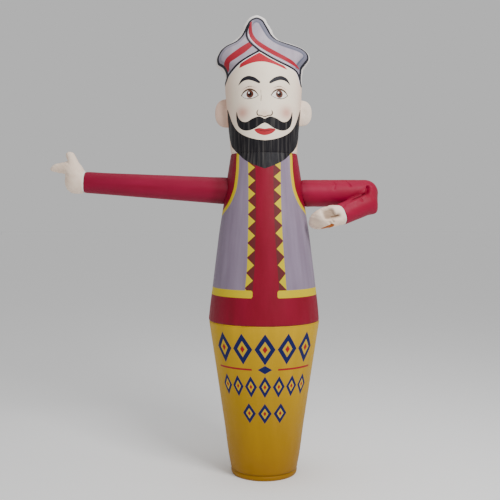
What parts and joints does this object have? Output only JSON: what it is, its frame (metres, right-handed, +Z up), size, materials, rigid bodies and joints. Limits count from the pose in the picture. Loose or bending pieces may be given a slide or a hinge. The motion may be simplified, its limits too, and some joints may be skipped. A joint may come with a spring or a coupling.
{
  "type": "inflatable air dancer",
  "caption": "Tall hollow cloth figure with a tapered skirt, a cone-shaped body, a bearded head in a wrapped headdress, a pointing arm and a bent arm, filled by air from below.",
  "frame": {"origin": "on the ground under the middle of the figure's box, from fingertip to elbow", "axes": "+Z up, +X to the viewer's right as the figure faces the viewer, -Y towards the viewer"},
  "size_m": [2.1927, 0.736, 3.05],
  "materials": {
    "yellow_nylon": "golden yellow coated nylon, soft sheen",
    "red_nylon": "crimson coated nylon, soft sheen",
    "cream_nylon": "cream coated nylon, soft sheen",
    "ear_nylon": "pale pink coated nylon, soft sheen"
  },
  "bodies": {
    "root": {"base": "yellow_nylon", "torso": "red_nylon", "head": "cream_nylon", "ear_left": "ear_nylon", "ear_right": "ear_nylon", "arm_left": "red_nylon", "arm_right": "red_nylon", "hand_left": "cream_nylon", "hand_right": "cream_nylon"}
  },
  "joints": []
}
